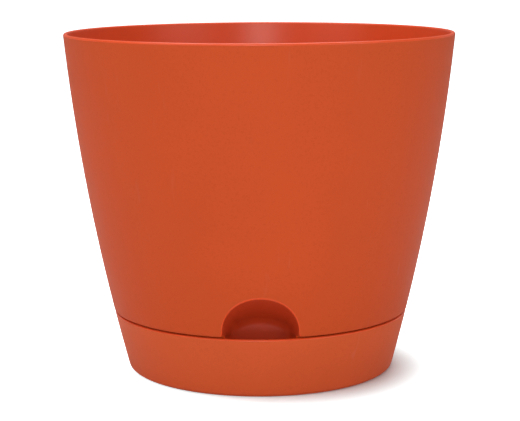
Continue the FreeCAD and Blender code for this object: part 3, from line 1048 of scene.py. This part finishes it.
@dataclass
class Platform(Piece):
    """The soil platform: a perforated disc on a hollow leg, with ribs and four sockets."""

    radius: float = 78.03
    top: float = 37.6
    thickness: float = 2.0
    rim_bevel: float = 0.25
    corner_slack: float = 0.3
    columns: int = 240
    hole: float = 2.0
    hole_segments: int = 18
    ring: float = 68.03
    ring_count: int = 26
    ring_start: float = math.radians(-60)
    ring_step: float = math.radians(12)
    rib_start: float = 7.0
    rib_end: float = 57.18
    rib_width: float = 2.0
    rib_depth: float = 4.0
    quarters: int = 4
    row_holes: int = 5
    row_step: float = 8.0
    row_gap: float = 3.0
    row_offset: float = 5.0
    socket: float = 17.407
    socket_offset: float = 29.007
    leg_radius: float = 8.0
    leg_wall: float = 2.0
    leg_foot: float = 7.3
    leg_round: tuple[float, float] = (0.3, 0.5)
    leg_columns: int = 64
    notch_back: float = -62.58
    notch_front: float = -86.08
    notch_half_back: float = 18.2
    notch_half_front: float = 25.86
    overlap: float = 0.4

    def build(self) -> bpy.types.Object:
        """Make the platform's mesh and dress it.

        Returns:
            The piece.
        """
        plate = join_solids(self.make_disc(), self.make_notch(), Join.DIFFERENCE)
        rims = [edge for edge in plate.edges if edge.is_manifold
                and abs(edge.calc_face_angle() - math.pi / 2) < self.corner_slack
                and abs(edge.verts[0].co.z - edge.verts[1].co.z) < MERGE]
        bmesh.ops.bevel(plate, geom=rims, offset=self.rim_bevel, segments=2, profile=0.5,
                        affect="EDGES", material=-1)
        plate = join_solids(plate, self.make_leg(), Join.UNION)
        piece = self.close(join_solids(plate, self.make_ribs(), Join.UNION))
        flat = piece.modifiers.new("flat_faces", "WEIGHTED_NORMAL")
        flat.keep_sharp = True
        return piece

    def make_disc(self) -> BMesh:
        """The disc with its perforations and sockets.

        Returns:
            The disc as a closed mesh.
        """
        mesh = bmesh.new()
        places = [(self.hole, put_round(self.ring_start + index * self.ring_step + math.pi / 2,
                                        self.ring, 0)) for index in range(self.ring_count)]
        for quarter in range(self.quarters):
            turn = Quaternion((0, 0, 1), math.tau * quarter / self.quarters)
            for index in range(self.row_holes):
                reach = self.rib_end - self.row_gap - index * self.row_step
                for side in (-1, 1):
                    spot = Vector((reach, side * self.row_offset, 0))
                    places.append((self.hole, turn @ spot))
        for cup in CupPlace:
            spot = Vector((*cup.value, 0)) * self.socket_offset
            places.append((self.socket, spot))
        ring_of(mesh, self.radius, self.top, self.columns)
        for radius, spot in places:
            segments = self.hole_segments if radius == self.hole else 4 * self.hole_segments
            ring_of(mesh, radius, self.top, segments, (spot.x, spot.y))
        faces = fill_level(mesh, mesh.edges[:])
        made = bmesh.ops.extrude_face_region(mesh, geom=faces)
        lower = [item for item in made["geom"] if isinstance(item, BMVert)]
        bmesh.ops.translate(mesh, verts=lower, vec=(0, 0, -self.thickness))
        return mesh

    def make_notch(self) -> BMesh:
        """The solid that leaves room for the pot's niche.

        Returns:
            The solid, wider at the front.
        """
        mesh = bmesh.new()
        bmesh.ops.create_cube(mesh, size=2)
        for vert in mesh.verts:
            back = vert.co.y > 0
            half = self.notch_half_back if back else self.notch_half_front
            depth = self.notch_back if back else self.notch_front
            vert.co = Vector((vert.co.x * half, depth, self.top + vert.co.z * self.thickness * 2))
        return mesh

    def make_leg(self) -> BMesh:
        """The hollow leg, let into the disc a little.

        Returns:
            The leg as a closed mesh.
        """
        mesh = bmesh.new()
        top = self.top - self.thickness + self.overlap
        inner = self.leg_radius - self.leg_wall
        spin_section(mesh, [
            Corner(inner, self.leg_foot, self.leg_round[0], 2),
            Corner(self.leg_radius, self.leg_foot, self.leg_round[1], 3),
            Corner(self.leg_radius, top),
            Corner(inner, top),
        ], self.leg_columns, closed=True)
        return mesh

    def make_ribs(self) -> BMesh:
        """The ribs under the disc, let into it a little.

        Returns:
            The ribs, as one mesh.
        """
        tall = self.rib_depth + self.overlap
        top = self.top - self.thickness + self.overlap
        return put_bars(self.quarters, 0.0,
                        (self.rib_end - self.rib_start, self.rib_width, tall),
                        ((self.rib_start + self.rib_end) / 2, 0, top - tall / 2))


@dataclass
class WickCup(Piece):
    """A wick cup: a slotted, tapered basket that hangs in its socket by a flange."""

    place: CupPlace = CupPlace.BACK_RIGHT
    offset: float = 29.007
    base: float = 7.8
    bottom_radius: float = 12.51
    top_radius: float = 17.01
    wall: float = 1.6
    flange: float = 2.5
    flange_level: float = 37.6
    floor_hole: float = 3.0
    hole_round: float = 0.2
    foot_round: float = 0.8
    under_round: float = 0.3
    lip_round: float = 0.6
    floor_round: float = 1.0
    columns: int = 96
    slot_count: int = 6
    slot_width: float = 3.0
    slot_rise: float = 4.0
    slot_height: float = 12.0
    slot_round: float = 0.5
    slot_depth: float = 10.0

    def build(self) -> bpy.types.Object:
        """Make the cup's mesh and dress it.

        Returns:
            The piece.
        """
        mesh = bmesh.new()
        top = self.flange_level + self.wall
        slope = (self.top_radius - self.bottom_radius) / (self.flange_level - self.base)
        floor = self.base + self.wall
        inset = slope * self.wall - self.wall
        spin_section(mesh, [
            Corner(self.floor_hole, self.base, self.hole_round, 2),
            Corner(self.bottom_radius, self.base, self.foot_round, 4),
            Corner(self.top_radius, self.flange_level, self.under_round, 2),
            Corner(self.top_radius + self.flange, self.flange_level, self.under_round, 3),
            Corner(self.top_radius + self.flange, top, self.lip_round, 4),
            Corner(self.top_radius + inset, top, self.lip_round, 4),
            Corner(self.bottom_radius + inset, floor, self.floor_round, 4),
            Corner(self.floor_hole, floor, self.hole_round, 2),
        ], self.columns, closed=True)
        mesh = join_solids(mesh, self.make_slots(), Join.DIFFERENCE)
        across, along = self.place.value
        bmesh.ops.translate(mesh, verts=mesh.verts[:],
                            vec=(across * self.offset, along * self.offset, 0))
        return self.close(mesh)

    def make_slots(self) -> BMesh:
        """The solids that cut the slots.

        Returns:
            The solids, as one mesh.
        """
        return put_bars(
            self.slot_count, 0.0, (self.slot_width, self.slot_depth, self.slot_height),
            (0, (self.bottom_radius + self.top_radius) / 2,
             self.base + self.slot_rise + self.slot_height / 2),
            self.slot_round,
            lambda edge: abs(edge.verts[0].co.y - edge.verts[1].co.y) > MERGE)


@dataclass(frozen=True)
class SoftBox:
    """A rectangular light that faces the object, in metres and watts."""

    name: str
    place: tuple[float, float, float]
    width: float
    height: float
    power: float
    aim: tuple[float, float, float] = (0.0, 0.0, 0.09)

    def build(self) -> None:
        """Hang the light in its place."""
        data = bpy.data.lights.new(self.name, "AREA")
        data.shape = "RECTANGLE"
        data.size = self.width
        data.size_y = self.height
        data.energy = self.power
        lamp = bpy.data.objects.new(self.name, data)
        lamp.location = self.place
        lamp.rotation_mode = "QUATERNION"
        way = Vector(self.aim) - Vector(self.place)
        lamp.rotation_quaternion = way.to_track_quat("-Z", "Y")
        bpy.context.scene.collection.objects.link(lamp)


@dataclass
class Studio:
    """The white floor, the soft boxes, the white surround and the camera.

    The floor glows for the camera alone. The glow is little in an off-centre disc round the base
    and full further out, which paints the object's shadow there over the real one.
    """

    boxes: tuple[SoftBox, ...] = (
        SoftBox("overhead", (-0.2, 0.4, 1.8), 2.2, 0.7, 34.0),
        SoftBox("key", (-0.2, -1.7, 2.1), 1.4, 1.4, 9.0),
        SoftBox("fill", (1.5, -1.2, 0.5), 1.2, 1.2, 7.5),
        SoftBox("left", (-1.5, -1.2, 0.7), 1.2, 1.2, 5.0),
        SoftBox("front", (-0.05, -2.2, 0.66), 0.45, 0.45, 10.0),
    )
    floor_half: float = 4.0
    floor_colour: tuple[float, float, float, float] = (0.86, 0.86, 0.86, 1.0)
    floor_roughness: float = 0.7
    # the glow's cool tint turns the pink bounce in the painted shadow grey
    glow_colour: tuple[float, float, float, float] = (0.8, 1.0, 1.02, 1.0)
    # centre, inner and outer radius of the glow's dim disc round the base: a painted shadow
    painted_shadow_centre: tuple[float, float] = (0.014, -0.005)
    painted_shadow_near: float = 0.052
    painted_shadow_far: float = 0.1
    surround: float = 0.25
    camera_place: tuple[float, float, float] = (0.0, -0.860, 0.2297)
    camera_lens: float = 110.07
    camera_pitch: float = 0.16645
    camera_roll: float = -0.0046
    camera_range: float = 20.0

    def build(self) -> None:
        """Set up everything around the object."""
        self.lay_floor()
        self.light_surround()
        for box in self.boxes:
            box.build()
        self.place_camera()
        view = bpy.context.scene.view_settings
        view.view_transform = "Standard"
        view.look = "None"

    def lay_floor(self) -> None:
        """Lay the white floor under the object, with a glow that paints the object's shadow round
        its base.
        """
        mesh = bmesh.new()
        bmesh.ops.create_grid(mesh, x_segments=1, y_segments=1, size=self.floor_half)
        data = bpy.data.meshes.new("floor")
        mesh.to_mesh(data)
        mesh.free()
        material = bpy.data.materials.new("floor_white")
        material.use_nodes = True
        shader = material.node_tree.nodes["Principled BSDF"]
        shader.inputs["Base Color"].default_value = self.floor_colour
        shader.inputs["Roughness"].default_value = self.floor_roughness
        board = NodeBoard(material.node_tree)
        # The glow is nothing near the base and plain white further out, off-centre: a painted
        # shadow.
        place = board.add("Mapping", Vector=board.add("TexCoord").outputs["Object"],
                          Location=(-self.painted_shadow_centre[0], -self.painted_shadow_centre[1], 0))
        away = board.add("VectorMath", {"operation": "LENGTH"})
        board.feed(away.inputs[0], place.outputs["Vector"])
        painted_shadow_ramp = board.add("MapRange", {"interpolation_type": "SMOOTHSTEP"},
                        Value=away.outputs["Value"], From_Min=self.painted_shadow_near,
                        From_Max=self.painted_shadow_far, To_Max=PURE_WHITE)
        glow = board.add("Emission", Strength=board.math(
            "MULTIPLY", board.add("LightPath").outputs["Is Camera Ray"], painted_shadow_ramp.outputs["Result"]))
        glow.inputs["Color"].default_value = self.glow_colour
        both = board.add("AddShader")
        board.feed(both.inputs[0], shader.outputs["BSDF"])
        board.feed(both.inputs[1], glow.outputs["Emission"])
        board.feed(material.node_tree.nodes["Material Output"].inputs["Surface"],
                   both.outputs["Shader"])
        data.materials.append(material)
        floor = bpy.data.objects.new("floor", data)
        bpy.context.scene.collection.objects.link(floor)

    def light_surround(self) -> None:
        """Light the scene from all around, and let the camera see plain white there."""
        world = bpy.data.worlds.new("surround")
        world.use_nodes = True
        board = NodeBoard(world.node_tree)
        shade = world.node_tree.nodes["Background"]
        board.feed(shade.inputs["Color"], WHITE)
        board.feed(shade.inputs["Strength"], self.surround)
        seen = board.add("Background", Color=WHITE, Strength=PURE_WHITE)
        mix = board.add("MixShader", Fac=board.add("LightPath").outputs["Is Camera Ray"])
        board.feed(mix.inputs[1], shade.outputs["Background"])
        board.feed(mix.inputs[2], seen.outputs["Background"])
        board.feed(world.node_tree.nodes["World Output"].inputs["Surface"],
                   mix.outputs["Shader"])
        bpy.context.scene.world = world

    def place_camera(self) -> None:
        """Set up the camera at its place and angle."""
        data = bpy.data.cameras.new("camera")
        data.lens = self.camera_lens
        data.clip_end = self.camera_range
        camera = bpy.data.objects.new("camera", data)
        camera.location = self.camera_place
        camera.rotation_mode = "QUATERNION"
        camera.rotation_quaternion = (Quaternion((1, 0, 0), math.pi / 2 - self.camera_pitch)
                                      @ Quaternion((0, 0, 1), self.camera_roll))
        bpy.context.scene.collection.objects.link(camera)
        bpy.context.scene.camera = camera


class NodeBoard:
    """A node tree with short ways to add and join nodes."""

    def __init__(self, tree: bpy.types.NodeTree) -> None:
        """Work on a node tree."""
        self.tree = tree

    def add(self, kind: str, settings: dict | None = None, **values: object) -> bpy.types.Node:
        """Add a node.

        Args:
            kind: the node's type, without its ShaderNode prefix.
            settings: the node's own properties.
            values: its inputs, each a number or a socket to join. An underscore in a name
                stands for a space.

        Returns:
            The node.
        """
        node = self.tree.nodes.new(f"ShaderNode{kind}")
        for name, value in (settings or {}).items():
            setattr(node, name, value)
        for name, value in values.items():
            self.feed(node.inputs[name.replace("_", " ")], value)
        return node

    def feed(self, socket: bpy.types.NodeSocket, value: object) -> None:
        """Set a socket to a value, or join another socket to it.

        Args:
            socket: the input.
            value: a number, a colour, a vector or the socket to join.
        """
        if isinstance(value, bpy.types.NodeSocket):
            self.tree.links.new(value, socket)
        else:
            socket.default_value = value

    def math(self, operation: str, *values: object) -> bpy.types.NodeSocket:
        """Add a Math node.

        Args:
            operation: what it does with its values.
            values: its inputs in order, each a number or a socket to join.

        Returns:
            Its result.
        """
        node = self.tree.nodes.new("ShaderNodeMath")
        node.operation = operation
        for socket, value in zip(node.inputs, values):
            self.feed(socket, value)
        return node.outputs[0]


def new_group(name: str, inputs: dict[str, float],
              outputs: list[str]) -> tuple[NodeBoard, bpy.types.Node, bpy.types.Node]:
    """Start a shader node group of plain numbers.

    Args:
        name: the group's name.
        inputs: its inputs and their defaults.
        outputs: its outputs.

    Returns:
        A board on the group, its input node and its output node.
    """
    tree = bpy.data.node_groups.new(name, "ShaderNodeTree")
    for label, value in inputs.items():
        socket = tree.interface.new_socket(label, in_out="INPUT", socket_type="NodeSocketFloat")
        socket.default_value = value
    for label in outputs:
        tree.interface.new_socket(label, in_out="OUTPUT", socket_type="NodeSocketFloat")
    start = tree.nodes.new("NodeGroupInput")
    end = tree.nodes.new("NodeGroupOutput")
    return NodeBoard(tree), start, end


class SurfaceEffects:
    """The effects that the plastics share, each a node group built once.

    Attributes:
        COARSER: how much larger the coarse part of the grain is than the fine part.
        FINE_SHARE: how much of the grain's height is its fine part.
    """

    COARSER = 2.7
    FINE_SHARE = 0.65

    def __init__(self) -> None:
        """Build the groups."""
        self.grain = self.make_grain()
        self.marks = self.make_marks()

    @staticmethod
    def make_grain() -> bpy.types.NodeTree:
        """Build the fine eroded grain of the mould's steel.

        Returns:
            A group that puts out the grain's height and where it lies deep.
        """
        board, start, end = new_group("mould_grain", {"Size": 0.0006}, ["Height", "Pits"])
        place = board.add("TexCoord").outputs["Object"]
        often = board.math("DIVIDE", 1.0, start.outputs["Size"])
        fine = board.add("TexNoise", Vector=place, Scale=often, Detail=2.0, Roughness=0.6)
        seldom = board.math("DIVIDE", often, SurfaceEffects.COARSER)
        coarse = board.add("TexNoise", Vector=place, Scale=seldom, Detail=1.0)
        share = SurfaceEffects.FINE_SHARE
        both = board.math("ADD", board.math("MULTIPLY", fine.outputs["Fac"], share),
                          board.math("MULTIPLY", coarse.outputs["Fac"], 1 - share))
        pits = board.add("MapRange", Value=both, From_Min=0.5, From_Max=0.36)
        board.feed(end.inputs["Height"], both)
        board.feed(end.inputs["Pits"], pits.outputs["Result"])
        return board.tree

    @staticmethod
    def make_marks() -> bpy.types.NodeTree:
        """Build slight flow clouds in the plastic and light scuffs from handling.

        Returns:
            A group that puts out the clouds and the scuffs, both from 0 to 1.
        """
        board, start, end = new_group("moulding_marks", {"Cloud Size": 0.05, "Scuffs": 0.5},
                                      ["Clouds", "Scuffs"])
        place = board.add("TexCoord").outputs["Object"]
        often = board.math("DIVIDE", 1.0, start.outputs["Cloud Size"])
        clouds = board.add("TexNoise", Vector=place, Scale=often, Detail=3.0, Distortion=0.6)
        across = board.add("Mapping", Vector=place, Rotation=(0.3, 0.2, 0.5),
                           Scale=(260.0, 260.0, 30.0))
        streaks = board.add("TexNoise", Vector=across.outputs["Vector"], Scale=1.0, Detail=2.0)
        patches = board.add("TexNoise", Vector=place, Scale=24.0, Detail=1.0)
        thin = board.add("MapRange", Value=streaks.outputs["Fac"], From_Min=0.66, From_Max=0.74)
        here = board.add("MapRange", Value=patches.outputs["Fac"], From_Min=0.5, From_Max=0.68)
        scuffs = board.math("MULTIPLY", thin.outputs["Result"], here.outputs["Result"])
        board.feed(end.inputs["Clouds"], clouds.outputs["Fac"])
        board.feed(end.inputs["Scuffs"], board.math("MULTIPLY", scuffs, start.outputs["Scuffs"]))
        return board.tree


@dataclass(frozen=True)
class MouldedPlastic:
    """A moulded plastic's finish.

    Attributes:
        name: the material's name.
        colour: its colour, linear.
        deep: its colour in the grain's pits.
        roughness: its roughness.
        grain_size: size of the grain, in metres.
        grain_depth: depth of the grain, in metres.
        specular: strength of its reflection, 0.5 for a usual plastic.
        clouds: how much the flow clouds change the tone.
        scuffs: how much the scuffs show.
        pit_show: how much of the deep colour the pits show.
        scuff_fade: saturation that a full scuff takes away.
        cloud_rough: roughness between the clouds' darkest and lightest places.
        scuff_rough: roughness that a full scuff adds.
    """

    name: str
    colour: tuple[float, float, float]
    deep: tuple[float, float, float]
    roughness: float
    grain_size: float
    grain_depth: float
    specular: float = 0.3
    clouds: float = 0.05
    scuffs: float = 0.4
    pit_show: float = 0.3
    scuff_fade: float = 0.25
    cloud_rough: float = 0.08
    scuff_rough: float = 0.15

    def make(self, effects: SurfaceEffects) -> bpy.types.Material:
        """Build the material.

        Args:
            effects: the shared effects.

        Returns:
            The material.
        """
        material = bpy.data.materials.new(self.name)
        material.use_nodes = True
        board = NodeBoard(material.node_tree)
        shader = material.node_tree.nodes["Principled BSDF"]
        shader.inputs["Specular IOR Level"].default_value = self.specular
        grain = board.add("Group", {"node_tree": effects.grain}, Size=self.grain_size)
        marks = board.add("Group", {"node_tree": effects.marks}, Scuffs=self.scuffs)
        tone = board.add("Mix", {"data_type": "RGBA"})
        pits = board.math("MULTIPLY", grain.outputs["Pits"], self.pit_show)
        board.feed(tone.inputs[MIX_FACTOR], pits)
        board.feed(tone.inputs[MIX_FIRST], (*self.colour, 1))
        board.feed(tone.inputs[MIX_SECOND], (*self.deep, 1))
        clouds, scuffs = marks.outputs["Clouds"], marks.outputs["Scuffs"]
        lift = board.math("MULTIPLY_ADD", clouds, 2 * self.clouds, 1 - self.clouds)
        faded = board.math("SUBTRACT", 1.0, board.math("MULTIPLY", scuffs, self.scuff_fade))
        shade = board.add("HueSaturation", Color=tone.outputs[MIX_RESULT], Value=lift,
                          Saturation=faded)
        board.feed(shader.inputs["Base Color"], shade.outputs["Color"])
        rough = board.math("MULTIPLY_ADD", clouds, self.cloud_rough,
                           self.roughness - self.cloud_rough / 2)
        rough = board.math("MULTIPLY_ADD", scuffs, self.scuff_rough, rough)
        board.feed(shader.inputs["Roughness"], rough)
        bump = board.add("Bump", Height=grain.outputs["Height"], Strength=1.0,
                         Distance=self.grain_depth)
        board.feed(shader.inputs["Normal"], bump.outputs["Normal"])
        return material


def main() -> None:
    """Build the planter and its studio."""
    logging.basicConfig(level=logging.INFO, format="%(message)s")
    effects = SurfaceEffects()
    outside = MouldedPlastic("terracotta_matt", (0.56, 0.074, 0.017), (0.45, 0.052, 0.012),
                             roughness=0.55, grain_size=0.0006, grain_depth=0.00003,
                             specular=0.1, scuffs=0.1)
    # The saucer's paler tone is painted bounce light from the white floor.
    bounce_lit_matt = replace(outside, name="terracotta_matt_painted_bounce", colour=(0.63, 0.098, 0.028),
                    deep=(0.52, 0.07, 0.02))
    # The inside tone is lighter than the outer wall's: painted light over a real satin gloss.
    inside = MouldedPlastic("terracotta_satin_painted_light", (0.74, 0.075, 0.012), (0.68, 0.066, 0.010),
                            roughness=0.36, grain_size=0.0012, grain_depth=0.00001,
                            specular=0.4, scuffs=0.2)
    # The scoop's tone is darker than the outer wall's: painted shade in the recess.
    scoop = MouldedPlastic("terracotta_polished_painted_shade", (0.47, 0.040, 0.010), (0.44, 0.036, 0.009),
                           roughness=0.34, grain_size=0.0012, grain_depth=0.00001,
                           specular=0.35, scuffs=0.2)
    insert = MouldedPlastic("insert_grey", (0.035, 0.034, 0.033), (0.025, 0.024, 0.023),
                            roughness=0.42, grain_size=0.0007, grain_depth=0.00003)
    dressed = [finish.make(effects) for finish in (outside, inside)]
    shaded_scoop = scoop.make(effects)
    dark = insert.make(effects)
    Saucer("saucer_body", "saucer", "reservoir_saucer", "pot_plastic",
           [bounce_lit_matt.make(effects), dressed[1]]).build()
    Pot("pot_body", "pot", "planter_pot", "pot_plastic", [*dressed, shaded_scoop]).build()
    Platform("platform_body", "platform", "soil_platform", "insert_plastic", [dark]).build()
    for place in CupPlace:
        corner = place.name.lower()
        WickCup(f"cup_body_{corner}", f"cup_{corner}", f"wick_cup_{corner}", "insert_plastic",
                [dark], place=place).build()
    Studio().build()


if __name__ == "__main__":
    main()
